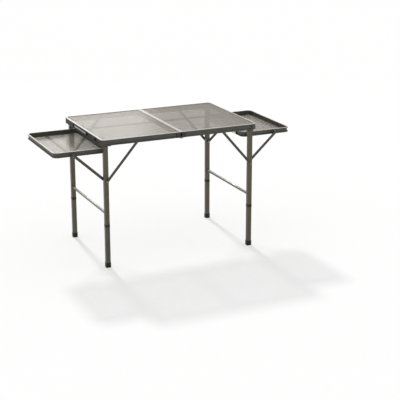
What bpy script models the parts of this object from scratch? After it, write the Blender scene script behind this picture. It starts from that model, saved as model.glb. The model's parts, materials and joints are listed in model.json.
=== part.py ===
"""Folding table with channel frames, mesh tops, plug-in legs and two hang-on side trays.

Metres, +Z up. The origin lies on the floor under the middle of the table top.
+X runs along the table, -Y is the front.
"""
from math import asin, atan2, cos, hypot, pi, radians, sin, sqrt

import bmesh
import bpy
from mathutils import Matrix, Vector

# Driving dimensions of the table top
TABLE_LENGTH = 0.900
TABLE_WIDTH = 0.600
TABLE_HEIGHT = 0.705
RIM_HEIGHT = 0.032
CORNER_RADIUS = 0.022
SEAM_CORNER_RADIUS = 0.004
FLANGE_DEPTH = 0.0065
WEB = 0.002
TOP_FLANGE = 0.006
BOTTOM_FLANGE = 0.005
EDGE_ROUND = 0.0015
LEDGE_DEPTH = 0.005
LEDGE_THICKNESS = 0.0015
MESH_DROP = 0.0015
MESH_THICKNESS = 0.0022
MESH_BAR = 0.022
MESH_OPENINGS_X = 6
MESH_OPENINGS_Y = 8
RIB_WIDTH = 0.006
RIB_DEPTH = 0.008

# Clearances
GAP = 0.0003
RUNNING_GAP = 0.0005
SLOT_GAP = 0.0005
TRAY_STRUT_GAP = 0.0025

# Legs
LEG_END_INSET = 0.029
LEG_SIDE_INSET = 0.028
LEG_WIDTH = 0.0245
LEG_CORNER = 0.003
LEG_WALL = 0.0015
UPPER_LEG_BOTTOM = 0.241
SPIGOT_LENGTH = 0.090
SPIGOT_HEADROOM = 0.004
COLLAR_HEIGHT = 0.014
COLLAR_STEP = 0.0006
FOOT_HEIGHT = 0.027
FOOT_WIDTH = 0.027
FOOT_SOLE = 0.003
CROSSBAR_RADIUS = 0.008
CROSSBAR_Z = 0.299
STUD_RADIUS = 0.003
STUD_DROP = 0.196

# Axles, and the brackets and leg knuckles on them
AXLE_RADIUS = 0.004
AXLE_OUTBOARD = 0.007
AXLE_ABOVE_RIM = 0.005
AXLE_GRIP = 0.005
KNUCKLE_WALL = 0.0037
KNUCKLE_DEPTH = 0.015
KNUCKLE_OVERLAP = 0.008
KNUCKLE_RELIEF = 0.0002
BRACKET_LENGTH = 0.0415
BRACKET_END = 0.0085
BRACKET_DROP = 0.0055

# Struts between leg and table
STRUT_THICKNESS = 0.003
STRUT_WIDTH = 0.014
STRUT_REACH = 0.180
STRUT_ABOVE_RIM = 0.012
RIVET_RADIUS = 0.003
RIVET_HEAD_RADIUS = 0.0055
RIVET_HEAD = 0.0015
LEG_FOLD = radians(86)
STRUT_TURN = radians(125.6)
SLOT_LEAD = radians(2)

# Trays and the struts between leg and tray
TRAY_UNDERLAP = 0.060
TRAY_LENGTH = 0.300
TRAY_SIDE_INSET = 0.060
TRAY_DROP = 0.025
TRAY_HEIGHT = 0.028
TRAY_CORNER = 0.028
TRAY_FLANGE_DEPTH = 0.005
TRAY_FLANGE = 0.005
TRAY_MESH_DROP = 0.0235
TRAY_OPENINGS_X = 4
TRAY_OPENINGS_Y = 6
TRAY_STRUT_INSET = 0.200
TRAY_STRUT_RISE = 0.012
TRAY_STRUT_WIDTH = 0.015
TRAY_STRUT_EYE = 0.0085
TRAY_RIVET_RADIUS = 0.004
SEAT_LIP_ANGLE = radians(45)
SEAT_OPEN_ANGLE = radians(20)
HANGER_THICKNESS = 0.0025
HANGER_WIDTH = 0.330
HANGER_FOOT = 0.002
HANGER_RISE = 0.033
HOOK_WIDTH = 0.024
HOOK_Y = 0.150
HOOK_WALL = 0.003
HOOK_WRAP = radians(215)

# Centre hinges
HINGE_DROP = 0.002
BARREL_RADIUS = 0.004
HINGE_PIN_RADIUS = 0.0018
HINGE_PIN_HEAD = 0.0012
HINGE_PIN_HEAD_RADIUS = 0.0035
LEAF_LENGTH = 0.026
LEAF_START = 0.0048
LUG_REACH = 0.012
LUG_RISE = 0.012

# Carry handle and latch levers on the left end
GRIP_Y = 0.035
GRIP_HEIGHT = 0.016
PRONG_SIZE = 0.008
PRONG_LENGTH = 0.040
PRONG_END = 0.023
CLIP_LENGTH = 0.017
END_INSET = 0.0005
LATCH_LENGTH = 0.115
LATCH_END_GAP = 0.0105
LATCH_CLIP_GAP = 0.0072
LATCH_THICKNESS = 0.0048
LATCH_GAP = 0.0007

# Facets of round shapes
ROUND_STEPS = 20
CORNER_STEPS = 5
TUBE_CORNER_STEPS = 2
SMOOTH_ANGLE = radians(35)

# Derived heights and planes
RIM_BOTTOM = TABLE_HEIGHT - RIM_HEIGHT
RIM_DEPTH = FLANGE_DEPTH + WEB
RECESS_BOTTOM = RIM_BOTTOM + BOTTOM_FLANGE
RECESS_TOP = TABLE_HEIGHT - TOP_FLANGE
RECESS_MIDDLE = (RECESS_BOTTOM + RECESS_TOP) / 2
MESH_TOP = TABLE_HEIGHT - MESH_DROP
MESH_BOTTOM = MESH_TOP - MESH_THICKNESS
LEDGE_TOP = MESH_BOTTOM - GAP
WEB_OUTER_Y = TABLE_WIDTH / 2 - FLANGE_DEPTH
WEB_INNER_Y = TABLE_WIDTH / 2 - RIM_DEPTH
END_X = TABLE_LENGTH / 2
END_WEB_OUTER_X = END_X - FLANGE_DEPTH
LEG_X = END_X - LEG_END_INSET
LEG_Y = TABLE_WIDTH / 2 - LEG_SIDE_INSET
AXLE_X = LEG_X + AXLE_OUTBOARD
AXLE_Z = RIM_BOTTOM + AXLE_ABOVE_RIM
KNUCKLE_RADIUS = AXLE_RADIUS + GAP + KNUCKLE_WALL
LEG_OUTER_Y = LEG_Y + LEG_WIDTH / 2
LEG_INNER_Y = LEG_Y - LEG_WIDTH / 2
LEG_TOP = AXLE_Z - KNUCKLE_DEPTH
STUD_Z = RIM_BOTTOM - STUD_DROP
LEG_BORE = LEG_WIDTH - 2 * LEG_WALL
SPIGOT_WIDTH = LEG_BORE - 2 * GAP
COLLAR_TOP = UPPER_LEG_BOTTOM - GAP
SHOULDER_Z = COLLAR_TOP - COLLAR_HEIGHT - GAP
SPIGOT_TOP = COLLAR_TOP + SPIGOT_LENGTH
BRACKET_INNER_Y = LEG_OUTER_Y + RUNNING_GAP
STRUT_X = LEG_X - STRUT_REACH
STRUT_Z = RIM_BOTTOM + STRUT_ABOVE_RIM
STRUT_OUTER_Y = WEB_INNER_Y - RUNNING_GAP
STRUT_INNER_Y = STRUT_OUTER_Y - STRUT_THICKNESS
TRAY_STRUT_OUTER_Y = LEG_INNER_Y - TRAY_STRUT_GAP
TRAY_STRUT_INNER_Y = TRAY_STRUT_OUTER_Y - STRUT_THICKNESS
TRAY_INNER_X = END_X - TRAY_UNDERLAP
TRAY_WIDTH = TABLE_WIDTH - 2 * TRAY_SIDE_INSET
TRAY_TOP = RIM_BOTTOM - TRAY_DROP
TRAY_BOTTOM = TRAY_TOP - TRAY_HEIGHT
TRAY_STRUT_X = TRAY_INNER_X + TRAY_STRUT_INSET
TRAY_STRUT_Z = TRAY_BOTTOM + TRAY_STRUT_RISE
TRAY_RIM_DEPTH = TRAY_FLANGE_DEPTH + WEB
TRAY_MESH_TOP = TRAY_TOP - TRAY_MESH_DROP
TRAY_WEB_OUTER_Y = TRAY_WIDTH / 2 - TRAY_FLANGE_DEPTH
HINGE_Z = RIM_BOTTOM - HINGE_DROP
GRIP_INNER_X = END_WEB_OUTER_X + GAP
LATCH_SPACING = TABLE_WIDTH - 2 * (GRIP_Y + LATCH_LENGTH / 2 + CORNER_RADIUS + LATCH_END_GAP)
GRIP_LENGTH = LATCH_SPACING - LATCH_LENGTH - 2 * (LATCH_CLIP_GAP + CLIP_LENGTH + GAP)
PRONG_SPACING = GRIP_LENGTH - 2 * PRONG_END
LATCH_INNER_X = END_WEB_OUTER_X + LATCH_GAP
LATCH_X = LATCH_INNER_X + LATCH_THICKNESS / 2
LATCH_Z = RECESS_BOTTOM + LATCH_THICKNESS / 2 + 2 * RUNNING_GAP

SIDES = (("left", -1), ("right", 1))
ROWS = (("front", -1), ("rear", 1))

for old in list(bpy.data.objects):
    bpy.data.objects.remove(old, do_unlink=True)


def finish_material(name, colour, roughness, metallic):
    """A Principled material with one plain colour."""
    material = bpy.data.materials.new(name)
    material.use_nodes = True
    shader = material.node_tree.nodes["Principled BSDF"]
    shader.inputs["Base Color"].default_value = (*colour, 1.0)
    shader.inputs["Roughness"].default_value = roughness
    shader.inputs["Metallic"].default_value = metallic
    return material


FRAME_PAINT = finish_material("frame_paint", (0.072, 0.071, 0.060), 0.45, 0.3)
LEG_ANODISED = finish_material("leg_anodised", (0.130, 0.112, 0.080), 0.40, 0.7)
STRUT_STEEL = finish_material("strut_steel", (0.085, 0.078, 0.062), 0.40, 0.7)
MESH_STEEL = finish_material("mesh_steel", (0.300, 0.275, 0.240), 0.45, 0.6)
BRIGHT_STEEL = finish_material("bright_steel", (0.55, 0.54, 0.52), 0.30, 0.9)
BLACK_PLASTIC = finish_material("black_plastic", (0.016, 0.016, 0.016), 0.50, 0.0)


# Plane outlines

def arc(cx, cy, radius, start, end, steps):
    """Points along an arc, both ends included."""
    points = []
    for i in range(steps + 1):
        angle = start + (end - start) * i / steps
        points.append((cx + radius * cos(angle), cy + radius * sin(angle)))
    return points


def circle(cx, cy, radius):
    return arc(cx, cy, radius, 0.0, 2 * pi, ROUND_STEPS)[:-1]


def rectangle(x_lo, x_hi, y_lo, y_hi):
    return [(x_lo, y_lo), (x_hi, y_lo), (x_hi, y_hi), (x_lo, y_hi)]


def rounded_rectangle(x_lo, x_hi, y_lo, y_hi, left_radius, right_radius, inset=0.0, steps=CORNER_STEPS):
    """A rectangle drawn inwards by inset, with its own corner radius at each x end."""
    left = max(left_radius - inset, EDGE_ROUND / 4)
    right = max(right_radius - inset, EDGE_ROUND / 4)
    x_lo, x_hi = x_lo + inset, x_hi - inset
    y_lo, y_hi = y_lo + inset, y_hi - inset
    points = arc(x_hi - right, y_hi - right, right, 0.0, pi / 2, steps)
    points += arc(x_lo + left, y_hi - left, left, pi / 2, pi, steps)
    points += arc(x_lo + left, y_lo + left, left, pi, 3 * pi / 2, steps)
    points += arc(x_hi - right, y_lo + right, right, 3 * pi / 2, 2 * pi, steps)
    return points


def square(cx, cy, width, radius):
    half = width / 2
    return rounded_rectangle(cx - half, cx + half, cy - half, cy + half, radius, radius,
                             steps=TUBE_CORNER_STEPS)


# Solids from outlines

def closed(bm):
    bmesh.ops.recalc_face_normals(bm, faces=bm.faces[:])
    return bm


def extruded(corners, step):
    """One flat face through the corners, drawn out by step into a prism."""
    bm = bmesh.new()
    face = bm.faces.new([bm.verts.new(corner) for corner in corners])
    drawn = bmesh.ops.extrude_face_region(bm, geom=[face])
    tips = [item for item in drawn["geom"] if isinstance(item, bmesh.types.BMVert)]
    bmesh.ops.translate(bm, verts=tips, vec=step)
    return closed(bm)


def prism_y(outline, y_a, y_b):
    """An outline of (x, z) points drawn along Y."""
    return extruded([(x, y_a, z) for x, z in outline], (0, y_b - y_a, 0))


def prism_z(outline, z_a, z_b):
    """An outline of (x, y) points drawn along Z."""
    return extruded([(x, y, z_a) for x, y in outline], (0, 0, z_b - z_a))


def box(x_a, x_b, y_a, y_b, z_a, z_b):
    return prism_z(rectangle(min(x_a, x_b), max(x_a, x_b), min(y_a, y_b), max(y_a, y_b)), z_a, z_b)


def rod_y(x, z, radius, y_a, y_b):
    return prism_y(circle(x, z, radius), y_a, y_b)


def hull_y(outline, y_a, y_b):
    """The convex prism round (x, z) points drawn along Y."""
    bm = bmesh.new()
    corners = [bm.verts.new((x, y, z)) for y in (y_a, y_b) for x, z in outline]
    made = bmesh.ops.convex_hull(bm, input=corners)
    loose = [item for item in made["geom_interior"] if isinstance(item, bmesh.types.BMVert)]
    bmesh.ops.delete(bm, geom=loose, context="VERTS")
    return closed(bm)


def skin(loops, ring):
    """Walls between loops of (x, y, z) points, as a ring or with both ends capped."""
    bm = bmesh.new()
    rows = [[bm.verts.new(point) for point in loop] for loop in loops]
    pairs = list(zip(rows, rows[1:]))
    if ring:
        pairs.append((rows[-1], rows[0]))
    else:
        bm.faces.new(rows[0])
        bm.faces.new(rows[-1])
    for lower, upper in pairs:
        for i in range(len(lower)):
            j = (i + 1) % len(lower)
            bm.faces.new((lower[i], lower[j], upper[j], upper[i]))
    return closed(bm)


def at_height(outline, z):
    return [(x, y, z) for x, y in outline]


def combined(base, tool, operation):
    """The Boolean of two closed shapes, as a new shape."""
    objects = []
    for bm in (base, tool):
        mesh = bpy.data.meshes.new("boolean")
        bm.to_mesh(mesh)
        bm.free()
        boolean_object = bpy.data.objects.new("boolean", mesh)
        bpy.context.collection.objects.link(boolean_object)
        objects.append(boolean_object)
    modifier = objects[0].modifiers.new("boolean", "BOOLEAN")
    modifier.solver = "EXACT"
    modifier.operation = operation
    modifier.object = objects[1]
    depsgraph = bpy.context.evaluated_depsgraph_get()
    evaluated = objects[0].evaluated_get(depsgraph)
    result = bmesh.new()
    result.from_mesh(evaluated.to_mesh())
    evaluated.to_mesh_clear()
    for boolean_object in objects:
        bpy.data.objects.remove(boolean_object, do_unlink=True)
    return result


def joined(base, *tools):
    for tool in tools:
        base = combined(base, tool, "UNION")
    return base


def cut(base, *tools):
    for tool in tools:
        base = combined(base, tool, "DIFFERENCE")
    return base


def grille(outline, openings_x, openings_y, z_a, z_b):
    """A flat plate of the outline with an even grid of openings between bars."""
    x_lo, x_hi = min(x for x, _ in outline), max(x for x, _ in outline)
    y_lo, y_hi = min(y for _, y in outline), max(y for _, y in outline)
    pitch_x = (x_hi - x_lo) / openings_x
    pitch_y = (y_hi - y_lo) / openings_y
    size = Matrix.Diagonal((pitch_x - MESH_BAR, pitch_y - MESH_BAR, 2 * (z_b - z_a), 1.0))
    holes = bmesh.new()
    for i in range(openings_x):
        for j in range(openings_y):
            centre = (x_lo + (i + 0.5) * pitch_x, y_lo + (j + 0.5) * pitch_y, (z_a + z_b) / 2)
            bmesh.ops.create_cube(holes, size=1.0, matrix=Matrix.Translation(centre) @ size)
    return cut(prism_z(outline, z_a, z_b), holes)


# Bodies and their pieces

BODIES = {}


def body(name, parent, origin):
    """An empty on the joint axis that carries one moving body."""
    empty = bpy.data.objects.new(name + "_body", None)
    bpy.context.collection.objects.link(empty)
    empty.location = origin
    if parent is not None:
        empty.parent = BODIES[parent][0]
        empty.location = Vector(origin) - BODIES[parent][1]
    BODIES[name] = (empty, Vector(origin))


def piece(name, bm, material, body_name):
    """A named object with its mesh, carried by a body's empty."""
    empty, origin = BODIES[body_name]
    bmesh.ops.translate(bm, verts=bm.verts[:], vec=-origin)
    mesh = bpy.data.meshes.new(name)
    bm.to_mesh(mesh)
    bm.free()
    mesh.materials.append(material)
    mesh.shade_smooth()
    mesh.set_sharp_from_angle(angle=SMOOTH_ANGLE)
    part = bpy.data.objects.new(name, mesh)
    bpy.context.collection.objects.link(part)
    part.parent = empty


# Channel frames of the table halves and the trays

def channel(top, bottom, flange_depth, top_flange, bottom_flange, ledge_top):
    """A channel profile open to the outside, with an inner ledge, as (inset, z) points."""
    inner = flange_depth + WEB
    ledge_bottom = ledge_top - LEDGE_THICKNESS
    return [
        (inner, bottom),
        (EDGE_ROUND, bottom),
        (0.0, bottom + EDGE_ROUND),
        (0.0, bottom + bottom_flange),
        (flange_depth, bottom + bottom_flange),
        (flange_depth, top - top_flange),
        (0.0, top - top_flange),
        (0.0, top - EDGE_ROUND),
        (EDGE_ROUND, top),
        (inner, top),
        (inner, ledge_top),
        (inner + LEDGE_DEPTH, ledge_top),
        (inner + LEDGE_DEPTH, ledge_bottom),
        (inner, ledge_bottom),
    ]


def half_outline(sx, inset):
    """Outline of one table half, drawn inwards by inset."""
    points = rounded_rectangle(GAP, END_X, -TABLE_WIDTH / 2, TABLE_WIDTH / 2,
                               SEAM_CORNER_RADIUS, CORNER_RADIUS, inset)
    return [(sx * x, y) for x, y in points]


def tray_outline(sx, inset):
    points = rounded_rectangle(TRAY_INNER_X, TRAY_INNER_X + TRAY_LENGTH,
                               -TRAY_WIDTH / 2, TRAY_WIDTH / 2, TRAY_CORNER, TRAY_CORNER, inset)
    return [(sx * x, y) for x, y in points]


def prong_centres():
    return (GRIP_Y - PRONG_SPACING / 2, GRIP_Y + PRONG_SPACING / 2)


def table_half(side, sx):
    name = side + "_half"
    profile = channel(TABLE_HEIGHT, RIM_BOTTOM, FLANGE_DEPTH, TOP_FLANGE, BOTTOM_FLANGE, LEDGE_TOP)
    frame = skin([at_height(half_outline(sx, inset), z) for inset, z in profile], ring=True)
    beyond = TABLE_WIDTH
    for _, sy in ROWS:
        notch = box(-sx * RIM_DEPTH, sx * (LEAF_LENGTH + GAP), sy * WEB_OUTER_Y, sy * beyond,
                    RIM_BOTTOM - RIM_HEIGHT, RECESS_BOTTOM + GAP)
        rivet_hole = rod_y(sx * STRUT_X, STRUT_Z, RIVET_RADIUS + GAP,
                           sy * (WEB_INNER_Y - WEB), sy * (WEB_OUTER_Y + WEB))
        frame = cut(frame, notch, rivet_hole)
    if side == "left":
        half_hole = PRONG_SIZE / 2 + GAP
        for y in prong_centres():
            frame = cut(frame, box(sx * (END_WEB_OUTER_X - 2 * WEB), sx * (END_WEB_OUTER_X + WEB),
                                   y - half_hole, y + half_hole,
                                   RECESS_MIDDLE - half_hole, RECESS_MIDDLE + half_hole))
    piece(side + "_table_frame", frame, FRAME_PAINT, name)
    panel = grille(half_outline(sx, RIM_DEPTH + GAP), MESH_OPENINGS_X, MESH_OPENINGS_Y, MESH_BOTTOM, MESH_TOP)
    piece(side + "_mesh_panel", panel, MESH_STEEL, name)
    rib_end = RIM_DEPTH + LEDGE_DEPTH + GAP
    piece(side + "_centre_rib",
          box(sx * (GAP + rib_end), sx * (END_X - rib_end), -RIB_WIDTH / 2, RIB_WIDTH / 2,
              LEDGE_TOP - RIB_DEPTH, LEDGE_TOP),
          FRAME_PAINT, name)


def hinge(row, sy):
    """Two leaves in the rim's recess with interleaved barrels below the seam, and their pin."""
    inner_y = WEB_OUTER_Y + GAP
    outer_y = TABLE_WIDTH / 2
    middle_y = (inner_y + outer_y) / 2
    ranges = {"left": (inner_y, middle_y - GAP / 2), "right": (middle_y + GAP / 2, outer_y)}
    for side, sx in SIDES:
        plate = box(sx * LEAF_START, sx * LEAF_LENGTH, sy * inner_y, sy * outer_y,
                    HINGE_Z + HINGE_DROP, RECESS_TOP - GAP)
        near, far = ranges[side]
        lug_points = circle(0.0, HINGE_Z, BARREL_RADIUS)
        lug_points += [(sx * LUG_REACH, HINGE_Z + HINGE_DROP + GAP), (sx * LUG_REACH, HINGE_Z + LUG_RISE),
                       (sx * (LEAF_START + GAP), HINGE_Z + LUG_RISE)]
        lug = hull_y(lug_points, sy * (near + GAP / 4), sy * (far - GAP / 4))
        bore = rod_y(0.0, HINGE_Z, HINGE_PIN_RADIUS + GAP, sy * (inner_y - WEB), sy * (outer_y + WEB))
        piece(row + "_hinge_" + side + "_leaf", cut(joined(plate, lug), bore), BLACK_PLASTIC,
              side + "_half")
    pin = rod_y(0.0, HINGE_Z, HINGE_PIN_RADIUS, sy * inner_y, sy * (outer_y + GAP + HINGE_PIN_HEAD))
    head = rod_y(0.0, HINGE_Z, HINGE_PIN_HEAD_RADIUS, sy * (outer_y + GAP),
                 sy * (outer_y + GAP + HINGE_PIN_HEAD))
    piece(row + "_hinge_pin", joined(pin, head), BRIGHT_STEEL, "left_half")


# Axles, legs and feet

def axle_bracket(side, sx, row, sy):
    """A block on the web's inner face that holds one end of the axle."""
    outer_y = WEB_INNER_Y - GAP
    corner_x = END_X - CORNER_RADIUS
    corner_y = TABLE_WIDTH / 2 - CORNER_RADIUS
    inner_corner = CORNER_RADIUS - RIM_DEPTH
    end_x = AXLE_X + BRACKET_END
    end_y = corner_y + sqrt(inner_corner ** 2 - (end_x - corner_x) ** 2) - 2 * GAP
    outline = [(end_x - BRACKET_LENGTH, BRACKET_INNER_Y), (end_x, BRACKET_INNER_Y), (end_x, end_y),
               (corner_x, outer_y), (end_x - BRACKET_LENGTH, outer_y)]
    block = prism_z([(sx * x, sy * y) for x, y in outline], RIM_BOTTOM - BRACKET_DROP,
                    LEDGE_TOP - LEDGE_THICKNESS - RUNNING_GAP)
    bore = rod_y(sx * AXLE_X, AXLE_Z, AXLE_RADIUS + GAP, sy * LEG_Y, sy * TABLE_WIDTH)
    piece(side + "_" + row + "_axle_bracket", cut(block, bore), BLACK_PLASTIC, side + "_half")


def axle(side, sx):
    reach = BRACKET_INNER_Y + AXLE_GRIP
    piece(side + "_axle", rod_y(sx * AXLE_X, AXLE_Z, AXLE_RADIUS, -reach, reach), BRIGHT_STEEL,
          side + "_half")


def upper_leg(side, sx, row, sy):
    """A square tube with a bore for the spigot and a knuckle round the axle on top."""
    x, y = sx * LEG_X, sy * LEG_Y
    tube = square(x, y, LEG_WIDTH, LEG_CORNER)
    bore = square(x, y, LEG_BORE, LEG_CORNER - LEG_WALL)
    leg = skin([at_height(bore, SPIGOT_TOP + SPIGOT_HEADROOM), at_height(bore, UPPER_LEG_BOTTOM),
                at_height(tube, UPPER_LEG_BOTTOM), at_height(tube, LEG_TOP)], ring=False)
    half = LEG_WIDTH / 2 - KNUCKLE_RELIEF
    points = circle(sx * AXLE_X, AXLE_Z, KNUCKLE_RADIUS)
    points += rectangle(x - half, x + half, LEG_TOP - KNUCKLE_OVERLAP, LEG_TOP)
    leg = joined(leg, hull_y(points, y - half, y + half))
    leg = cut(leg,
              rod_y(sx * AXLE_X, AXLE_Z, AXLE_RADIUS + GAP, y - LEG_WIDTH, y + LEG_WIDTH),
              rod_y(x, STUD_Z, STUD_RADIUS + GAP, y - LEG_WIDTH, y + LEG_WIDTH))
    piece(side + "_" + row + "_upper_leg", leg, LEG_ANODISED, side + "_leg_frame")


def leg_stud(side, sx, row, sy):
    """The cross stud that both struts rest on."""
    inner_y = TRAY_STRUT_INNER_Y - STUD_RADIUS
    piece(side + "_" + row + "_leg_stud",
          rod_y(sx * LEG_X, STUD_Z, STUD_RADIUS, sy * inner_y, sy * STRUT_OUTER_Y),
          BRIGHT_STEEL, side + "_leg_frame")


def crossbar(side, sx):
    reach = LEG_INNER_Y - GAP
    piece(side + "_crossbar", rod_y(sx * LEG_X, CROSSBAR_Z, CROSSBAR_RADIUS, -reach, reach),
          LEG_ANODISED, side + "_leg_frame")


def lower_leg(side, sx, row, sy):
    """The plug-in lower leg with its spigot, collar and foot."""
    name = side + "_" + row
    x, y = sx * LEG_X, sy * LEG_Y
    tube = square(x, y, LEG_WIDTH, LEG_CORNER)
    spigot = square(x, y, SPIGOT_WIDTH, LEG_CORNER - LEG_WALL)
    carrier = name + "_lower_leg"
    leg = skin([at_height(tube, FOOT_SOLE + GAP), at_height(tube, SHOULDER_Z),
                at_height(spigot, SHOULDER_Z), at_height(spigot, SPIGOT_TOP)], ring=False)
    piece(name + "_lower_leg", leg, LEG_ANODISED, carrier)
    collar_outer = square(x, y, LEG_WIDTH + 2 * COLLAR_STEP, LEG_CORNER)
    collar_inner = square(x, y, LEG_BORE, LEG_CORNER - LEG_WALL)
    collar_bottom = SHOULDER_Z + GAP
    collar = skin([at_height(collar_outer, collar_bottom), at_height(collar_outer, COLLAR_TOP),
                   at_height(collar_inner, COLLAR_TOP), at_height(collar_inner, collar_bottom)],
                  ring=True)
    piece(name + "_collar", collar, BLACK_PLASTIC, carrier)
    foot_outer = square(x, y, FOOT_WIDTH, LEG_CORNER)
    foot_inner = square(x, y, LEG_WIDTH + 2 * GAP, LEG_CORNER)
    foot = skin([at_height(foot_outer, 0.0), at_height(foot_outer, FOOT_HEIGHT),
                 at_height(foot_inner, FOOT_HEIGHT), at_height(foot_inner, FOOT_SOLE)], ring=False)
    piece(name + "_foot", foot, BLACK_PLASTIC, carrier)


# Struts

def turned(point, angle):
    x, z = point
    return (x * cos(angle) - z * sin(angle), x * sin(angle) + z * cos(angle))


def placed(outline, origin, along, across, sx):
    """Points given along and across a strut, set out in the plane of the legs."""
    return [(sx * (origin[0] + u * along[0] + v * across[0]), origin[1] + u * along[1] + v * across[1])
            for u, v in outline]


def stud_from_strut(fold):
    """Where the leg stud lies, seen from the table strut, at a fold angle of the right leg."""
    stud = turned((LEG_X - AXLE_X, STUD_Z - AXLE_Z), -fold)
    reach = (AXLE_X + stud[0] - STRUT_X, AXLE_Z + stud[1] - STRUT_Z)
    return turned(reach, fold * STRUT_TURN / LEG_FOLD)


def table_strut(side, sx, row, sy):
    """A flat bar riveted to the rim, with a hook slot that the leg stud leaves as the leg folds."""
    start = stud_from_strut(0.0)
    length = hypot(*start)
    along = (start[0] / length, start[1] / length)
    across = (-along[1], along[0])
    later = stud_from_strut(SLOT_LEAD)
    step = (later[0] - start[0], later[1] - start[1])
    lead = atan2(step[0] * across[0] + step[1] * across[1], step[0] * along[0] + step[1] * along[1])
    half = STRUT_WIDTH / 2
    slot = STUD_RADIUS + SLOT_GAP
    mouth = (half - slot * sin(lead + pi / 2)) / sin(lead)
    outline = arc(0.0, 0.0, half, pi / 2, 3 * pi / 2, ROUND_STEPS // 2)
    outline += arc(length, 0.0, half, -pi / 2, lead - asin(slot / half), ROUND_STEPS // 2)
    outline += arc(length, 0.0, slot, lead - pi / 2, lead - 3 * pi / 2, ROUND_STEPS // 2)
    outline.append((length + slot * cos(lead + pi / 2) + mouth * cos(lead), half))
    bar = prism_y(placed(outline, (STRUT_X, STRUT_Z), along, across, sx),
                  sy * STRUT_INNER_Y, sy * STRUT_OUTER_Y)
    head_y = WEB_OUTER_Y + GAP
    shank = rod_y(sx * STRUT_X, STRUT_Z, RIVET_RADIUS, sy * (STRUT_OUTER_Y - STRUT_THICKNESS / 2),
                  sy * (head_y + RIVET_HEAD / 2))
    head = rod_y(sx * STRUT_X, STRUT_Z, RIVET_HEAD_RADIUS, sy * head_y, sy * (head_y + RIVET_HEAD))
    name = side + "_" + row + "_table_strut"
    piece(name, joined(bar, shank, head), STRUT_STEEL, name)


def tray_strut(side, sx, row, sy):
    """A flat bar riveted to the tray's rim, whose end seats on the leg stud."""
    reach = (LEG_X - TRAY_STRUT_X, STUD_Z - TRAY_STRUT_Z)
    length = hypot(*reach)
    along = (reach[0] / length, reach[1] / length)
    across = (along[1], -along[0])
    half = TRAY_STRUT_WIDTH / 2
    seat = STUD_RADIUS + GAP
    lip_start = (length - seat * cos(SEAT_LIP_ANGLE), seat * sin(SEAT_LIP_ANGLE))
    outline = arc(0.0, 0.0, half, -pi / 2, -3 * pi / 2, ROUND_STEPS // 2)
    outline.append((lip_start[0] + (half - lip_start[1]) / sin(SEAT_LIP_ANGLE) * cos(SEAT_LIP_ANGLE), half))
    outline += arc(length, 0.0, seat, pi - SEAT_LIP_ANGLE, pi + SEAT_OPEN_ANGLE, CORNER_STEPS)
    outline.append((length - seat * cos(SEAT_OPEN_ANGLE), -half))
    bar = prism_y(placed(outline, (TRAY_STRUT_X, TRAY_STRUT_Z), along, across, sx),
                  sy * TRAY_STRUT_INNER_Y, sy * TRAY_STRUT_OUTER_Y)
    shank = rod_y(sx * TRAY_STRUT_X, TRAY_STRUT_Z, TRAY_RIVET_RADIUS, sy * (TRAY_WEB_OUTER_Y + GAP),
                  sy * (TRAY_STRUT_OUTER_Y - STRUT_THICKNESS / 2))
    head = rod_y(sx * TRAY_STRUT_X, TRAY_STRUT_Z, RIVET_HEAD_RADIUS,
                 sy * (TRAY_STRUT_OUTER_Y - STRUT_THICKNESS / 2), sy * (TRAY_STRUT_OUTER_Y + RIVET_HEAD))
    eye = rod_y(sx * TRAY_STRUT_X, TRAY_STRUT_Z, TRAY_STRUT_EYE, sy * TRAY_STRUT_INNER_Y,
                sy * TRAY_STRUT_OUTER_Y)
    name = side + "_" + row + "_tray_strut"
    piece(name, joined(bar, eye, shank, head), STRUT_STEEL, name)


# Trays

def tray(side, sx):
    name = side + "_tray"
    profile = channel(TRAY_TOP, TRAY_BOTTOM, TRAY_FLANGE_DEPTH, TRAY_FLANGE, TRAY_FLANGE,
                      TRAY_MESH_TOP - MESH_THICKNESS - GAP)
    frame = skin([at_height(tray_outline(sx, inset), z) for inset, z in profile], ring=True)
    piece(side + "_tray_frame", frame, FRAME_PAINT, name)
    floor = grille(tray_outline(sx, TRAY_RIM_DEPTH + GAP), TRAY_OPENINGS_X, TRAY_OPENINGS_Y,
                   TRAY_MESH_TOP - MESH_THICKNESS, TRAY_MESH_TOP)
    piece(side + "_tray_mesh", floor, MESH_STEEL, name)


def tray_hanger(side, sx):
    """A plate on the tray's inner end with two arms that hook over the axle."""
    outer_x = TRAY_INNER_X - GAP
    inner_x = outer_x - HANGER_THICKNESS
    hanger = box(sx * inner_x, sx * outer_x, -HANGER_WIDTH / 2, HANGER_WIDTH / 2,
                 TRAY_BOTTOM + HANGER_FOOT, TRAY_BOTTOM + HANGER_FOOT + HANGER_RISE)
    hook_inner = AXLE_RADIUS + GAP
    hook_outer = hook_inner + HOOK_WALL
    outline = [(inner_x, TRAY_BOTTOM + HANGER_FOOT + HANGER_RISE / 2),
               (outer_x, TRAY_BOTTOM + HANGER_FOOT + HANGER_RISE / 2),
               (outer_x, AXLE_Z + hook_inner)]
    turn = HOOK_WRAP - pi / 2
    outline += arc(AXLE_X, AXLE_Z, hook_inner, pi / 2, pi / 2 - turn, ROUND_STEPS // 2)
    outline += arc(AXLE_X, AXLE_Z, hook_outer, pi / 2 - turn, pi / 2, ROUND_STEPS // 2)
    outline.append((inner_x, AXLE_Z + hook_outer))
    for y in (-HOOK_Y, HOOK_Y):
        arm = prism_y([(sx * x, z) for x, z in outline], y - HOOK_WIDTH / 2, y + HOOK_WIDTH / 2)
        hanger = joined(hanger, arm)
    piece(side + "_tray_hanger", hanger, BRIGHT_STEEL, side + "_tray")


# Carry handle and latch levers

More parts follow.
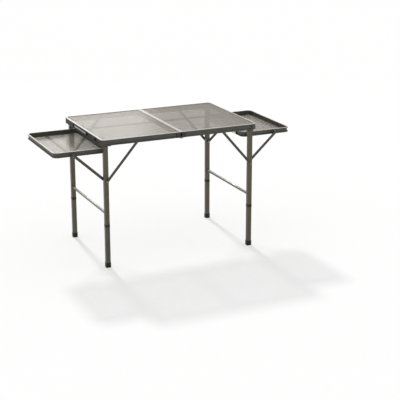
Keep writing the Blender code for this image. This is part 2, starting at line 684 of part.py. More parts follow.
def carry_handle():
    """A grip in the end recess with two prongs that slide through the web, between two clips."""
    outer_x = END_X - END_INSET
    half_grip = GRIP_LENGTH / 2
    grip = box(-outer_x, -GRIP_INNER_X, GRIP_Y - half_grip, GRIP_Y + half_grip,
               RECESS_MIDDLE - GRIP_HEIGHT / 2, RECESS_MIDDLE + GRIP_HEIGHT / 2)
    half_prong = PRONG_SIZE / 2
    for y in prong_centres():
        grip = joined(grip, box(-(GRIP_INNER_X + WEB), -(GRIP_INNER_X - PRONG_LENGTH),
                                y - half_prong, y + half_prong,
                                RECESS_MIDDLE - half_prong, RECESS_MIDDLE + half_prong))
    piece("handle_grip", grip, STRUT_STEEL, "handle")
    for row, sy in ROWS:
        near = GRIP_Y + sy * (half_grip + GAP)
        piece(row + "_handle_clip",
              box(-outer_x, -GRIP_INNER_X, near, near + sy * CLIP_LENGTH,
                  RECESS_BOTTOM + RUNNING_GAP, RECESS_TOP - RUNNING_GAP),
              BLACK_PLASTIC, "left_half")


def latch_lever(row, sy):
    """A plate that swings out of the end recess about its rounded lower edge."""
    y = GRIP_Y + sy * LATCH_SPACING / 2
    half = LATCH_THICKNESS / 2
    outline = arc(-LATCH_X, LATCH_Z, half, pi, 2 * pi, ROUND_STEPS // 2)
    outline += [(-LATCH_X + half, RECESS_TOP - EDGE_ROUND), (-LATCH_X - half, RECESS_TOP - EDGE_ROUND)]
    name = row + "_latch_lever"
    piece(name, prism_y(outline, y - LATCH_LENGTH / 2, y + LATCH_LENGTH / 2), BLACK_PLASTIC, name)


def build():
    body("left_half", None, (0.0, 0.0, 0.0))
    body("right_half", "left_half", (0.0, 0.0, HINGE_Z))
    body("handle", "left_half", (-GRIP_INNER_X, GRIP_Y, RECESS_MIDDLE))
    carry_handle()
    for row, sy in ROWS:
        body(row + "_latch_lever", "left_half", (-LATCH_X, GRIP_Y + sy * LATCH_SPACING / 2, LATCH_Z))
        latch_lever(row, sy)
        hinge(row, sy)
    for side, sx in SIDES:
        half = side + "_half"
        body(side + "_leg_frame", half, (sx * AXLE_X, 0.0, AXLE_Z))
        body(side + "_tray", half, (sx * AXLE_X, 0.0, AXLE_Z))
        table_half(side, sx)
        axle(side, sx)
        crossbar(side, sx)
        tray(side, sx)
        tray_hanger(side, sx)
        for row, sy in ROWS:
            corner = side + "_" + row
            body(corner + "_lower_leg", side + "_leg_frame", (sx * LEG_X, sy * LEG_Y, SHOULDER_Z))
            body(corner + "_table_strut", half, (sx * STRUT_X, sy * STRUT_OUTER_Y, STRUT_Z))
            body(corner + "_tray_strut", side + "_tray",
                 (sx * TRAY_STRUT_X, sy * TRAY_STRUT_OUTER_Y, TRAY_STRUT_Z))
            axle_bracket(side, sx, row, sy)
            upper_leg(side, sx, row, sy)
            leg_stud(side, sx, row, sy)
            lower_leg(side, sx, row, sy)
            table_strut(side, sx, row, sy)
            tray_strut(side, sx, row, sy)


build()
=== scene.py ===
import json
from math import pi, radians, sqrt

import bmesh
import bpy
from mathutils import Matrix, Vector

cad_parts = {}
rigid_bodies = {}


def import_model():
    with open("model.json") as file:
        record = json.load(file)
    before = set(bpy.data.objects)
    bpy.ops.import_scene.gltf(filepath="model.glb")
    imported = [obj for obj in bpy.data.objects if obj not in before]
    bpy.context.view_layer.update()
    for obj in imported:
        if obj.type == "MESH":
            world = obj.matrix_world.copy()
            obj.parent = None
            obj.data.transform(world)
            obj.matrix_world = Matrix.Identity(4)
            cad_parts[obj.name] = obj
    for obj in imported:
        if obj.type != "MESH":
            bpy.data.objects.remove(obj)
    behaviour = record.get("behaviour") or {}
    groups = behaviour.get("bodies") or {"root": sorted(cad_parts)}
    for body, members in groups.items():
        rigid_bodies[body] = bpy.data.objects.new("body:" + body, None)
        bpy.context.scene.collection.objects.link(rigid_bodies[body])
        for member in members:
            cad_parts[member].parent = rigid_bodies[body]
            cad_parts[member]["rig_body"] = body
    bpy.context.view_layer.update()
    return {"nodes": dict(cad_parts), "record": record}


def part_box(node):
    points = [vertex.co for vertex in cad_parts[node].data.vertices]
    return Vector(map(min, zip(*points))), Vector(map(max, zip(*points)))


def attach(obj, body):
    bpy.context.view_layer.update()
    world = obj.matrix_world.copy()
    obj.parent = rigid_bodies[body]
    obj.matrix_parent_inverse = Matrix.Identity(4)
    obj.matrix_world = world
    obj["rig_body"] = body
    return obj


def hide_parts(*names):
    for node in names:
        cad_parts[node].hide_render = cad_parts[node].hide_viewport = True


for spare in list(bpy.data.objects):
    bpy.data.objects.remove(spare, do_unlink=True)

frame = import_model()
CAD_NODES = frame["nodes"]
SLOT_OF = {part["node"]: part["material_slot"] for part in frame["record"]["subparts"]}

SIDES = (("left", -1), ("right", 1))
ROWS = (("front", -1), ("rear", 1))

# Camera, fitted to the photograph's 400 by 400 frame
CAMERA_PLACE = (-2.334, -5.538, 2.114)
CAMERA_YAW = radians(-24.99)
CAMERA_PITCH = radians(17.31)
FOCAL_PIXELS = 1114.7
FRAME_PIXELS = 400.0
SENSOR = 36.0
FAR_LIMIT = 100.0

# Light
WHITE = (1.0, 1.0, 1.0, 1.0)
SKY_LEVEL = 0.66
SEEN_LEVEL = 1.0
KEY_LEVEL = 2.0
KEY_SOFTNESS = radians(6)
KEY_TURN = (radians(49), radians(0), radians(177))
PANEL_PLACE = (0.75, 4.2, 1.70)
PANEL_AIM = (-0.60, 0.0, 0.68)
PANEL_WIDE = 1.7
PANEL_HIGH = 0.9
PANEL_POWER = 8.5
FLOOR_HALF = 30.0
FLOOR_WHITE = (0.92, 0.92, 0.915, 1.0)
FLOOR_GLOW = 0.52

# Expanded-metal sheet
DIAMOND_WIDE = 0.0070
DIAMOND_DEEP = 0.0120
TABLE_STRAND = 0.0023
TRAY_STRAND = 0.0023
STRAND_THICKNESS = 0.0008
MARGIN = 0.0045
TABLE_SHEET_CORNER = 0.0132
TRAY_SHEET_CORNER = 0.0207
OPEN_SHARE = 0.62
SPARE_CELLS = 3
SEAT_GAP = 0.0003
TRAY_CORNERS = ((-1, -1), (-1, 1), (1, -1), (1, 1))

# Corner caps in the rim's recess
RIM_CORNER = 0.022
RECESS_DEPTH = 0.0065
RECESS_LOW = 0.005
RECESS_HIGH = 0.006
CAP_INSET = 0.0006
CAP_INNER = RIM_CORNER - RECESS_DEPTH + SEAT_GAP
CAP_OUTER = RIM_CORNER - CAP_INSET
CAP_TAIL = 0.010
CAP_ROUND = 0.0008
CORNER_STEPS = 8
CAP_TURN = {("left", "front"): pi, ("right", "front"): -pi / 2,
            ("left", "rear"): pi / 2, ("right", "rear"): 0.0}

# Ribs on the latch levers
RIB_PITCH = 0.0055
RIB_WIDTH = 0.0024
RIB_PROUD = 0.0007
RIB_MARGIN = 0.0025
RIB_FOOT = 2 * RIB_MARGIN
RIB_ROUND = RIB_PROUD / 2

# Inlay on the grip
INLAY_MARGIN = 0.0032
INLAY_PROUD = 0.0003
INLAY_ROUND = INLAY_PROUD / 2

# Hinge screws
SCREW_RADIUS = 0.0023
SCREW_PROUD = 0.0007
SCREW_SINK = 0.0004
SCREW_ROUND = SCREW_PROUD / 3
SCREW_SIDES = 20
SCREW_SHARES = (0.55, 0.85)
SCREW_RISE = 2 / 3

# Softened edges
MERGE = 0.00001
FLAT_ANGLE = radians(1)
EDGE_ANGLE = radians(30)
SMOOTH_ANGLE = radians(50)
EDGE_STEPS = 2
FRAME_EDGE = 0.0005
CENTRE_RIB_EDGE = 0.0008
HANGER_EDGE = 0.0006
AXLE_EDGE = 0.0004
CROSSBAR_EDGE = 0.0006
BRACKET_EDGE = 0.0008
LEG_EDGE = 0.0005
STUD_EDGE = 0.0005
COLLAR_EDGE = 0.0006
FOOT_EDGE = 0.0012
STRUT_EDGE = 0.0005
LEAF_EDGE = 0.0006
PIN_EDGE = 0.0004
CLIP_EDGE = 0.0012
LATCH_EDGE = 0.0008
GRIP_EDGE = 0.0018
GRIP_EDGE_STEPS = 3

# Finishes, as linear colours
FRAME_COLOUR = (0.060, 0.060, 0.051)
WORN_LIFT = 2.2
# Pale top band of the rims: a painted highlight on the lip
LIP_HIGHLIGHT_BAND = 0.0016
LIP_HIGHLIGHT_COLOUR = (0.53, 0.505, 0.46)
LEG_COLOUR = (0.095, 0.083, 0.057)
CROSSBAR_COLOUR = (0.075, 0.066, 0.048)
# Painted highlight: the crossbar is pale above this share of its height
CROSSBAR_HIGHLIGHT = (0.50, 0.48, 0.43)
CROSSBAR_HIGHLIGHT_SHARE = 0.74
STRUT_COLOUR = (0.068, 0.060, 0.044)
MESH_COLOUR = (0.216, 0.187, 0.142)
STEEL_COLOUR = (0.52, 0.51, 0.49)
PLASTIC_COLOUR = (0.012, 0.012, 0.011)
HANDLE_COLOUR = (0.10, 0.101, 0.092)
# Painted shade: the grip's upper band is near black, as shade under the rim
HANDLE_TOP_SHADE = (0.008, 0.008, 0.007)
HANDLE_SHADE_BAND = 0.0036
INLAY_COLOUR = (0.50, 0.503, 0.47)
CLIP_COLOUR = (0.004, 0.004, 0.004)
LATCH_COLOUR = (0.020, 0.020, 0.018)
LATCH_RIB_COLOUR = (0.11, 0.11, 0.10)
LEAF_COLOUR = (0.034, 0.034, 0.030)
SCREW_COLOUR = (0.045, 0.045, 0.042)
CAP_COLOUR = (0.060, 0.060, 0.055)

# Gloss, and the stretch of drawing lines along each axis
PLASTIC_SHINE = 0.3
DULL_SHINE = 0.06
TUBE_ROUGHNESS = 0.40
CROSSBAR_ROUGHNESS = 0.30
ROUGHNESS_SPREAD = 0.06
LINE_SPREAD = 0.14
LEG_LINES = (700.0, 700.0, 6.0)
CROSSBAR_LINES = (700.0, 6.0, 700.0)
STRUT_LINES = (60.0, 400.0, 60.0)
TURNED_LINES = (900.0, 40.0, 900.0)

# Sockets of a Mix node, which share their names
VALUE_SOCKETS = (2, 3)
VALUE_RESULT = 0
COLOUR_SOCKETS = (6, 7)
COLOUR_RESULT = 2


# Node helpers for the finishes

def scaled(colour, factor):
    return tuple(channel * factor for channel in colour)


class Finish:
    """A Principled material and short ways to add what it needs."""

    def __init__(self, name):
        self.material = bpy.data.materials.new(name)
        self.material.use_nodes = True
        self.tree = self.material.node_tree
        self.shader = self.tree.nodes["Principled BSDF"]
        self.place = self.node("ShaderNodeTexCoord").outputs["Object"]

    def node(self, kind, **settings):
        made = self.tree.nodes.new(kind)
        for key, value in settings.items():
            setattr(made, key, value)
        return made

    def link(self, source, target):
        self.tree.links.new(source, target)

    def stretched(self, stretch):
        """Object coordinates scaled along each axis, for streaks."""
        mapping = self.node("ShaderNodeMapping")
        mapping.inputs["Scale"].default_value = stretch
        self.link(self.place, mapping.inputs["Vector"])
        return mapping.outputs["Vector"]

    def noise(self, scale, detail=2.0, place=None):
        texture = self.node("ShaderNodeTexNoise")
        texture.inputs["Scale"].default_value = scale
        texture.inputs["Detail"].default_value = detail
        self.link(place or self.place, texture.inputs["Vector"])
        return texture.outputs["Fac"]

    def ranged(self, value, low, high, from_low=0.3, from_high=0.7):
        """A value spread from one range to another; the first fits a noise."""
        spread = self.node("ShaderNodeMapRange")
        spread.inputs["From Min"].default_value = from_low
        spread.inputs["From Max"].default_value = from_high
        spread.inputs["To Min"].default_value = low
        spread.inputs["To Max"].default_value = high
        self.link(value, spread.inputs["Value"])
        return spread.outputs["Result"]

    def mixed(self, factor, first, second):
        """A colour between two, each a colour or another node's output."""
        mix = self.node("ShaderNodeMix", data_type="RGBA")
        self.link(factor, mix.inputs["Factor"])
        for socket, colour in zip(COLOUR_SOCKETS, (first, second)):
            if isinstance(colour, tuple):
                mix.inputs[socket].default_value = (*colour, 1.0)
            else:
                self.link(colour, mix.inputs[socket])
        return mix.outputs[COLOUR_RESULT]

    def blended(self, factor, first, second):
        """A value between two nodes' outputs."""
        mix = self.node("ShaderNodeMix")
        self.link(factor, mix.inputs["Factor"])
        for socket, value in zip(VALUE_SOCKETS, (first, second)):
            self.link(value, mix.inputs[socket])
        return mix.outputs[VALUE_RESULT]

    def mottled(self, colour, spread, scale):
        """The colour, a little darker and lighter in patches."""
        patches = self.ranged(self.noise(scale, detail=3.0), low=0.0, high=1.0)
        return self.mixed(patches, scaled(colour, 1 - spread), scaled(colour, 1 + spread))

    def bumped(self, height, strength, distance):
        bump = self.node("ShaderNodeBump")
        bump.inputs["Strength"].default_value = strength
        bump.inputs["Distance"].default_value = distance
        self.link(height, bump.inputs["Height"])
        self.link(bump.outputs["Normal"], self.shader.inputs["Normal"])

    def rubbed_edges(self, low, high):
        """High where the surface is a sharp outer edge."""
        geometry = self.node("ShaderNodeNewGeometry")
        return self.ranged(geometry.outputs["Pointiness"], 0.0, 1.0, low, high)

    def above(self, level):
        """One above a height, nought below it."""
        split = self.node("ShaderNodeSeparateXYZ")
        self.link(self.place, split.inputs["Vector"])
        test = self.node("ShaderNodeMath", operation="GREATER_THAN")
        self.link(split.outputs["Z"], test.inputs[0])
        test.inputs[1].default_value = level
        return test.outputs["Value"]

    def topped(self, coat, top):
        """The coat with another colour above a level; top is the level and the colour."""
        level, colour = top
        return self.mixed(self.above(level), coat, self.mottled(colour, spread=0.08, scale=60.0))

    def colour(self, source):
        self.link(source, self.shader.inputs["Base Color"])

    def roughness(self, source):
        self.link(source, self.shader.inputs["Roughness"])

    def metallic(self, value):
        self.shader.inputs["Metallic"].default_value = value


def powder_coat(name, colour, highlight_level=None):
    """Satin powder coat with a fine grain; the lip above the given level is painted pale, as a
    painted highlight.
    """
    finish = Finish(name)
    coat = finish.mottled(colour, spread=0.12, scale=18.0)
    coat = finish.mixed(finish.rubbed_edges(low=0.54, high=0.62), coat, scaled(colour, WORN_LIFT))
    rough = finish.ranged(finish.noise(scale=60.0), low=0.40, high=0.52)
    if highlight_level is not None:
        # Painted highlight: the lip is pale and glossier above the level
        lip_highlight = finish.above(highlight_level)
        coat = finish.mixed(lip_highlight, coat, finish.mottled(LIP_HIGHLIGHT_COLOUR, spread=0.06, scale=40.0))
        lip_rough = finish.ranged(finish.noise(scale=120.0), low=0.26, high=0.36)
        rough = finish.blended(lip_highlight, rough, lip_rough)
    finish.colour(coat)
    finish.roughness(rough)
    finish.bumped(finish.noise(scale=1400.0, detail=1.0), strength=0.12, distance=0.0004)
    finish.metallic(0.15)
    return finish.material


def anodised(name, colour, stretch, roughness=TUBE_ROUGHNESS, top=None):
    """Anodised tube or bar with fine drawing lines along its length.

    top is a level and the colour above it.
    """
    finish = Finish(name)
    lines = finish.noise(scale=1.0, detail=4.0, place=finish.stretched(stretch))
    coat = finish.mixed(finish.ranged(lines, low=0.0, high=1.0),
                        scaled(colour, 1 - LINE_SPREAD), scaled(colour, 1 + LINE_SPREAD))
    if top:
        coat = finish.topped(coat, top)
    finish.colour(coat)
    finish.roughness(finish.ranged(lines, low=roughness - ROUGHNESS_SPREAD,
                                   high=roughness + ROUGHNESS_SPREAD))
    finish.bumped(lines, strength=0.10, distance=0.0003)
    finish.metallic(0.55)
    return finish.material


def coated_mesh():
    """Coated expanded metal, slightly uneven from strand to strand."""
    finish = Finish("mesh_coat")
    finish.colour(finish.mottled(MESH_COLOUR, spread=0.12, scale=160.0))
    finish.roughness(finish.ranged(finish.noise(scale=300.0), low=0.20, high=0.32))
    finish.bumped(finish.noise(scale=900.0), strength=0.15, distance=0.0003)
    finish.metallic(0.35)
    return finish.material


def moulded_plastic(name, colour, top=None, shine=PLASTIC_SHINE):
    """Moulded plastic with a fine grain; top is a level and the colour above it."""
    finish = Finish(name)
    coat = finish.mottled(colour, spread=0.15, scale=35.0)
    if top:
        coat = finish.topped(coat, top)
    finish.colour(coat)
    finish.roughness(finish.ranged(finish.noise(scale=220.0), low=0.42, high=0.58))
    finish.bumped(finish.noise(scale=2200.0, detail=1.0), strength=0.10, distance=0.0003)
    finish.shader.inputs["Specular IOR Level"].default_value = shine
    return finish.material


def bright_steel():
    """Plain steel with fine lines from turning."""
    finish = Finish("bright_steel")
    turned = finish.noise(scale=1.0, detail=3.0, place=finish.stretched(TURNED_LINES))
    finish.colour(finish.mottled(STEEL_COLOUR, spread=0.08, scale=50.0))
    finish.roughness(finish.ranged(turned, low=0.24, high=0.38))
    finish.bumped(turned, strength=0.06, distance=0.0002)
    finish.metallic(0.9)
    return finish.material


# Pieces

def add_piece(name, bm, finish, body, slot, *replaced):
    """A finished piece with its place in its mesh, riding on a body."""
    mesh = bpy.data.meshes.new(name)
    bm.to_mesh(mesh)
    bm.free()
    mesh.materials.append(finish)
    mesh.shade_smooth()
    mesh.set_sharp_from_angle(angle=SMOOTH_ANGLE)
    piece = bpy.data.objects.new(name, mesh)
    bpy.context.scene.collection.objects.link(piece)
    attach(piece, body)
    if replaced:
        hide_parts(*replaced)
    return piece


def body_of(node):
    return CAD_NODES[node]["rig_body"]


def even_normals(piece):
    """Keeps flat faces flat in the light beside their rounded edges."""
    weighted = piece.modifiers.new("even_normals", "WEIGHTED_NORMAL")
    weighted.keep_sharp = True


def block(bm, low, high):
    """A box between two corners, added to a shape."""
    size = Matrix.Diagonal((*(high - low), 1.0))
    bmesh.ops.create_cube(bm, size=1.0, matrix=Matrix.Translation((low + high) / 2) @ size)


def rounded(bm, width, steps=EDGE_STEPS):
    """All sharp edges of a shape rounded by width."""
    edges = [edge for edge in bm.edges if edge.calc_face_angle(0) > EDGE_ANGLE]
    bmesh.ops.bevel(bm, geom=edges, offset=width, offset_type="OFFSET", segments=steps,
                    profile=0.5, affect="EDGES", material=-1, clamp_overlap=True)


def softened(node, width, finish, steps=EDGE_STEPS):
    """A copy of a solid with its edges rounded, standing for it."""
    bm = bmesh.new()
    bm.from_mesh(CAD_NODES[node].data)
    bmesh.ops.remove_doubles(bm, verts=bm.verts[:], dist=MERGE)
    bmesh.ops.dissolve_limit(bm, angle_limit=FLAT_ANGLE, verts=bm.verts[:], edges=bm.edges[:])
    rounded(bm, width, steps)
    even_normals(add_piece(node + "_shell", bm, finish, body_of(node), SLOT_OF[node], node))


def set_thickness(bm, thickness, centre):
    """A flat sheet at the origin made solid, with its middle at centre."""
    bmesh.ops.recalc_face_normals(bm, faces=bm.faces[:])
    bmesh.ops.solidify(bm, geom=bm.faces[:], thickness=thickness)
    heights = [vert.co.z for vert in bm.verts]
    middle = Vector((0, 0, (min(heights) + max(heights)) / 2))
    bmesh.ops.translate(bm, verts=bm.verts[:], vec=centre - middle)
    bmesh.ops.recalc_face_normals(bm, faces=bm.faces[:])


def sheet_diamonds(node, strand, corners, radius, finish):
    """Diamond mesh in the place of a plain grille, trimmed to the sheet's margin."""
    low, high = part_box(node)
    width = high.x - low.x - 2 * MARGIN
    depth = high.y - low.y - 2 * MARGIN
    cells = int(width / DIAMOND_WIDE + depth / DIAMOND_DEEP) + SPARE_CELLS
    bm = bmesh.new()
    bmesh.ops.create_grid(bm, x_segments=cells, y_segments=cells, size=cells / 2)
    bmesh.ops.rotate(bm, verts=bm.verts[:], cent=(0, 0, 0), matrix=Matrix.Rotation(pi / 4, 3, "Z"))
    bmesh.ops.scale(bm, verts=bm.verts[:],
                    vec=(DIAMOND_WIDE / sqrt(2), DIAMOND_DEEP / sqrt(2), 1))
    cuts = [((sign, 0), (sign * width / 2, 0)) for sign in (1, -1)]
    cuts += [((0, sign), (0, sign * depth / 2)) for sign in (1, -1)]
    trim = radius * (1 - 1 / sqrt(2)) - MARGIN / 2
    cuts += [((sx, sy), (sx * (width / 2 - trim), sy * (depth / 2 - trim))) for sx, sy in corners]
    for outward, point in cuts:
        bmesh.ops.bisect_plane(bm, geom=bm.verts[:] + bm.edges[:] + bm.faces[:], dist=MERGE,
                               plane_co=(*point, 0), plane_no=(*outward, 0), clear_outer=True)
    full_cell = DIAMOND_WIDE * DIAMOND_DEEP / 2
    holes = [face for face in bm.faces if face.calc_area() > OPEN_SHARE * full_cell]
    bmesh.ops.inset_individual(bm, faces=holes, thickness=strand / 2, use_even_offset=True)
    bmesh.ops.delete(bm, geom=holes, context="FACES_ONLY")
    set_thickness(bm, STRAND_THICKNESS, (low + high) / 2)
    add_piece(node + "_diamonds", bm, finish, body_of(node), SLOT_OF[node], node)


def sheet_margin(node, corners, radius, finish):
    """The flat band round the mesh, with the frame's rounded corners."""
    low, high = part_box(node)
    bm = bmesh.new()
    bmesh.ops.create_grid(bm, x_segments=1, y_segments=1, size=0.5)
    bmesh.ops.scale(bm, verts=bm.verts[:], vec=(high.x - low.x, high.y - low.y, 1))
    turned = [vert for vert in bm.verts for sx, sy in corners
              if vert.co.x * sx > 0 and vert.co.y * sy > 0]
    bmesh.ops.bevel(bm, geom=turned, offset=radius, offset_type="OFFSET", segments=CORNER_STEPS,
                    profile=0.5, affect="VERTICES", material=-1)
    plate = bm.faces[:]
    bmesh.ops.inset_region(bm, faces=plate, thickness=MARGIN + SEAT_GAP, use_even_offset=True,
                           use_boundary=True)
    bmesh.ops.delete(bm, geom=plate, context="FACES_ONLY")
    set_thickness(bm, high.z - low.z, (low + high) / 2)
    add_piece(node + "_margin", bm, finish, body_of(node), SLOT_OF[node])


def expanded_sheet(node, strand, corners, radius, finish):
    """Expanded metal with a flat margin where it is seated."""
    sheet_diamonds(node, strand, corners, radius, finish)
    sheet_margin(node, corners, radius, finish)


def latch_ribs(row, finish):
    """Upright finger ribs on the outer face of a latch lever."""
    node = row + "_latch_lever"
    low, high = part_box(node)
    count = int((high.y - low.y - 2 * RIB_MARGIN - RIB_WIDTH) / RIB_PITCH) + 1
    start = (low.y + high.y - (count - 1) * RIB_PITCH) / 2
    bm = bmesh.new()
    for i in range(count):
        y = start + i * RIB_PITCH
        block(bm, Vector((low.x - RIB_PROUD, y - RIB_WIDTH / 2, low.z + RIB_FOOT)),
              Vector((low.x + RIB_PROUD, y + RIB_WIDTH / 2, high.z - RIB_MARGIN)))
    rounded(bm, RIB_ROUND)
    add_piece(row + "_latch_ribs", bm, finish, body_of(node), SLOT_OF[node])


def handle_inlay(finish):
    """The pale finger pad on the outer face of the grip."""
    low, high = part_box("handle_grip")
    clip_low, clip_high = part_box("front_handle_clip")
    middle = (clip_low.z + clip_high.z) / 2
    half = (high.z - low.z) / 2 - INLAY_MARGIN
    bm = bmesh.new()
    block(bm, Vector((low.x - INLAY_PROUD, low.y + INLAY_MARGIN, middle - half)),
          Vector((low.x + INLAY_PROUD, high.y - INLAY_MARGIN, middle + half)))
    rounded(bm, INLAY_ROUND)
    add_piece("handle_inlay", bm, finish, body_of("handle_grip"), SLOT_OF["handle_grip"])


def hinge_screws(side, row, sy, finish):
    """Two screw heads on the outer face of a hinge leaf."""
    node = row + "_hinge_" + side + "_leaf"
    low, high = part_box(node)
    face_y = low.y if sy < 0 else high.y
    inner_x, outer_x = (high.x, low.x) if side == "left" else (low.x, high.x)
    upright = Matrix.Rotation(pi / 2, 4, "X")
    bm = bmesh.new()
    for share in SCREW_SHARES:
        place = Vector((inner_x + (outer_x - inner_x) * share,
                        face_y + sy * (SCREW_PROUD - SCREW_SINK) / 2,
                        low.z + (high.z - low.z) * SCREW_RISE))
        bmesh.ops.create_cone(bm, cap_ends=True, segments=SCREW_SIDES, radius1=SCREW_RADIUS,
                              radius2=SCREW_RADIUS, depth=SCREW_PROUD + SCREW_SINK,
                              matrix=Matrix.Translation(place) @ upright)
    rounded(bm, SCREW_ROUND)
    add_piece(row + "_hinge_" + side + "_screws", bm, finish, body_of(node), "bright_steel")


def corner_cap(name, body, centre, turn, low, high, finish):
    """A moulded cap that fills the channel round one corner of a frame."""
    bm = bmesh.new()
    outline = ((CAP_INNER, low), (CAP_OUTER, low), (CAP_OUTER, high), (CAP_INNER, high))
    profile = [bm.verts.new((x, 0, z)) for x, z in outline]
    first = bm.faces.new(profile)
    bmesh.ops.spin(bm, geom=[first] + first.edges[:] + profile, cent=(0, 0, 0), axis=(0, 0, 1),
                   angle=pi / 2, steps=CORNER_STEPS, dvec=(0, 0, 0))
    bmesh.ops.recalc_face_normals(bm, faces=bm.faces[:])
    last = min(bm.faces, key=lambda face: abs(face.calc_center_median().x))
    for end, tail in ((first, (0, -CAP_TAIL, 0)), (last, (-CAP_TAIL, 0, 0))):
        drawn = bmesh.ops.extrude_face_region(bm, geom=[end])
        tips = [item for item in drawn["geom"] if isinstance(item, bmesh.types.BMVert)]
        bmesh.ops.translate(bm, verts=tips, vec=tail)
        bmesh.ops.delete(bm, geom=[end], context="FACES_ONLY")
    bmesh.ops.recalc_face_normals(bm, faces=bm.faces[:])
    rounded(bm, CAP_ROUND)
    bmesh.ops.rotate(bm, verts=bm.verts[:], cent=(0, 0, 0), matrix=Matrix.Rotation(turn, 3, "Z"))
    bmesh.ops.translate(bm, verts=bm.verts[:], vec=centre)
    even_normals(add_piece(name, bm, finish, body, "black_plastic"))


def corner_caps(finish):
    """Caps on the four outer corners of the table, inside the rim's recess."""
    for side, sx in SIDES:
        low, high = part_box(side + "_table_frame")
        outer_x = low.x if sx < 0 else high.x
        for row, sy in ROWS:
            centre = Vector((outer_x - sx * RIM_CORNER, sy * (high.y - RIM_CORNER), 0))
            corner_cap(side + "_" + row + "_corner_cap", side + "_half", centre,
                       CAP_TURN[side, row], low.z + RECESS_LOW + SEAT_GAP,
                       high.z - RECESS_HIGH - SEAT_GAP, finish)


def crossbar_finish():
    """Anodised bar with a painted highlight, pale, along its upper side."""
    low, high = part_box("left_crossbar")
    level = low.z + CROSSBAR_HIGHLIGHT_SHARE * (high.z - low.z)
    return anodised("crossbar_anodised", CROSSBAR_COLOUR, CROSSBAR_LINES, CROSSBAR_ROUGHNESS,
                    (level, CROSSBAR_HIGHLIGHT))


def handle_finish():
    """Dull grip with painted shade, near black, along its upper edge."""
    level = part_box("handle_grip")[1].z - HANDLE_SHADE_BAND
    return moulded_plastic("handle_plastic", HANDLE_COLOUR, (level, HANDLE_TOP_SHADE), DULL_SHINE)


def build_looks():
    # Levels above which the rims' lips carry the painted highlight
    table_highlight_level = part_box("left_table_frame")[1].z - LIP_HIGHLIGHT_BAND
    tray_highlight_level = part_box("left_tray_frame")[1].z - LIP_HIGHLIGHT_BAND
    table_paint = powder_coat("table_frame_coat", FRAME_COLOUR, table_highlight_level)
    tray_paint = powder_coat("tray_frame_coat", FRAME_COLOUR, tray_highlight_level)
    rib_paint = powder_coat("rib_coat", FRAME_COLOUR)
    leg_coat = anodised("leg_anodised", LEG_COLOUR, LEG_LINES)
    bar_coat = crossbar_finish()
    strut_coat = anodised("strut_coat", STRUT_COLOUR, STRUT_LINES)
    mesh_coat = coated_mesh()
    steel = bright_steel()
    plastic = moulded_plastic("black_plastic", PLASTIC_COLOUR)
    rib_plastic = moulded_plastic("latch_rib_plastic", LATCH_RIB_COLOUR)
    leaf_plastic = moulded_plastic("leaf_plastic", LEAF_COLOUR)
    screw_black = moulded_plastic("screw_black", SCREW_COLOUR)
    latch_plastic = moulded_plastic("latch_plastic", LATCH_COLOUR)
    handle_plastic = handle_finish()
    clip_plastic = moulded_plastic("clip_plastic", CLIP_COLOUR, shine=DULL_SHINE)
    for side, sx in SIDES:
        softened(side + "_table_frame", FRAME_EDGE, table_paint)
        softened(side + "_centre_rib", CENTRE_RIB_EDGE, rib_paint)
        expanded_sheet(side + "_mesh_panel", TABLE_STRAND, ((sx, -1), (sx, 1)),
                       TABLE_SHEET_CORNER, mesh_coat)
        softened(side + "_tray_frame", FRAME_EDGE, tray_paint)
        expanded_sheet(side + "_tray_mesh", TRAY_STRAND, TRAY_CORNERS,
                       TRAY_SHEET_CORNER, mesh_coat)
        softened(side + "_tray_hanger", HANGER_EDGE, steel)
        softened(side + "_axle", AXLE_EDGE, steel)
        softened(side + "_crossbar", CROSSBAR_EDGE, bar_coat)
        for row, sy in ROWS:
            corner = side + "_" + row
            softened(corner + "_axle_bracket", BRACKET_EDGE, plastic)
            softened(corner + "_upper_leg", LEG_EDGE, leg_coat)
            softened(corner + "_leg_stud", STUD_EDGE, steel)
            softened(corner + "_lower_leg", LEG_EDGE, leg_coat)
            softened(corner + "_collar", COLLAR_EDGE, plastic)
            softened(corner + "_foot", FOOT_EDGE, plastic)
            softened(corner + "_table_strut", STRUT_EDGE, strut_coat)
            softened(corner + "_tray_strut", STRUT_EDGE, strut_coat)
            softened(row + "_hinge_" + side + "_leaf", LEAF_EDGE, leaf_plastic)
            hinge_screws(side, row, sy, screw_black)
    for row, sy in ROWS:
        softened(row + "_hinge_pin", PIN_EDGE, steel)
        softened(row + "_handle_clip", CLIP_EDGE, clip_plastic)
        softened(row + "_latch_lever", LATCH_EDGE, latch_plastic)
        latch_ribs(row, rib_plastic)
    softened("handle_grip", GRIP_EDGE, handle_plastic, GRIP_EDGE_STEPS)
    handle_inlay(moulded_plastic("inlay_rubber", INLAY_COLOUR))
    corner_caps(moulded_plastic("cap_plastic", CAP_COLOUR))


# Floor, light and camera

def seen_white(tree, lit, seen):
    """A background that is white to the camera and in reflections, and plain light elsewhere."""
    path = tree.nodes.new("ShaderNodeLightPath")
    shown = path.outputs["Is Camera Ray"]
    for ray in ("Is Glossy Ray", "Is Transmission Ray"):
        either = tree.nodes.new("ShaderNodeMath")
        either.operation = "MAXIMUM"
        tree.links.new(shown, either.inputs[0])
        tree.links.new(path.outputs[ray], either.inputs[1])
        shown = either.outputs[0]
    mix = tree.nodes.new("ShaderNodeMixShader")
    tree.links.new(shown, mix.inputs["Fac"])
    tree.links.new(lit, mix.inputs[1])
    tree.links.new(seen, mix.inputs[2])
    return mix.outputs[0]


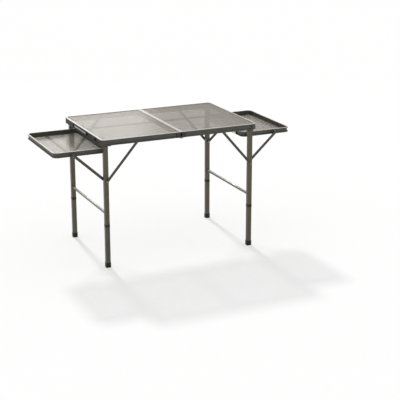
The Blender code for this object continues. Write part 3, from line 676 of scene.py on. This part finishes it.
def sky():
    """Even light from all round, seen as plain white."""
    world = bpy.data.worlds.new("studio")
    bpy.context.scene.world = world
    world.use_nodes = True
    tree = world.node_tree
    lit = tree.nodes["Background"]
    seen = tree.nodes.new("ShaderNodeBackground")
    for background, level in ((lit, SKY_LEVEL), (seen, SEEN_LEVEL)):
        background.inputs["Color"].default_value = WHITE
        background.inputs["Strength"].default_value = level
    shown = seen_white(tree, lit.outputs[0], seen.outputs[0])
    tree.links.new(shown, tree.nodes["World Output"].inputs["Surface"])


def key_light():
    """A soft sun that gives the shadow on the floor."""
    key = bpy.data.lights.new("key", "SUN")
    key.energy = KEY_LEVEL
    key.angle = KEY_SOFTNESS
    holder = bpy.data.objects.new("key", key)
    holder.rotation_euler = KEY_TURN
    bpy.context.scene.collection.objects.link(holder)


def rear_panel():
    """A panel behind the table, whose gloss lies on the mesh of the left half."""
    panel = bpy.data.lights.new("panel", "AREA")
    panel.shape = "RECTANGLE"
    panel.size = PANEL_WIDE
    panel.size_y = PANEL_HIGH
    panel.energy = PANEL_POWER
    holder = bpy.data.objects.new("panel", panel)
    holder.location = PANEL_PLACE
    aim = Vector(PANEL_AIM) - Vector(PANEL_PLACE)
    holder.rotation_euler = aim.to_track_quat("-Z", "Y").to_euler()
    holder.visible_camera = False
    bpy.context.scene.collection.objects.link(holder)


def floor_paper():
    """Matt white paper, lifted towards white for the camera so that the shadow stays pale."""
    paper = Finish("floor_paper")
    paper.shader.inputs["Base Color"].default_value = FLOOR_WHITE
    paper.shader.inputs["Roughness"].default_value = 1.0
    paper.shader.inputs["Specular IOR Level"].default_value = 0.0
    glow = paper.node("ShaderNodeEmission")
    path = paper.node("ShaderNodeLightPath")
    share = paper.node("ShaderNodeMath", operation="MULTIPLY")
    paper.link(path.outputs["Is Camera Ray"], share.inputs[0])
    share.inputs[1].default_value = FLOOR_GLOW
    blend = paper.node("ShaderNodeMixShader")
    paper.link(share.outputs["Value"], blend.inputs["Fac"])
    paper.link(paper.shader.outputs["BSDF"], blend.inputs[1])
    paper.link(glow.outputs["Emission"], blend.inputs[2])
    paper.link(blend.outputs["Shader"], paper.tree.nodes["Material Output"].inputs["Surface"])
    return paper.material


def lay_floor():
    bm = bmesh.new()
    bmesh.ops.create_grid(bm, x_segments=1, y_segments=1, size=FLOOR_HALF)
    mesh = bpy.data.meshes.new("floor")
    bm.to_mesh(mesh)
    bm.free()
    mesh.materials.append(floor_paper())
    floor = bpy.data.objects.new("floor", mesh)
    bpy.context.scene.collection.objects.link(floor)


def camera():
    lens = bpy.data.cameras.new("camera")
    lens.sensor_width = SENSOR
    lens.lens = FOCAL_PIXELS / FRAME_PIXELS * SENSOR
    lens.clip_end = FAR_LIMIT
    viewer = bpy.data.objects.new("camera", lens)
    viewer.location = CAMERA_PLACE
    viewer.rotation_euler = (pi / 2 - CAMERA_PITCH, 0.0, CAMERA_YAW)
    bpy.context.scene.collection.objects.link(viewer)
    bpy.context.scene.camera = viewer


build_looks()
sky()
key_light()
rear_panel()
lay_floor()
camera()
bpy.context.scene.view_settings.view_transform = "Standard"
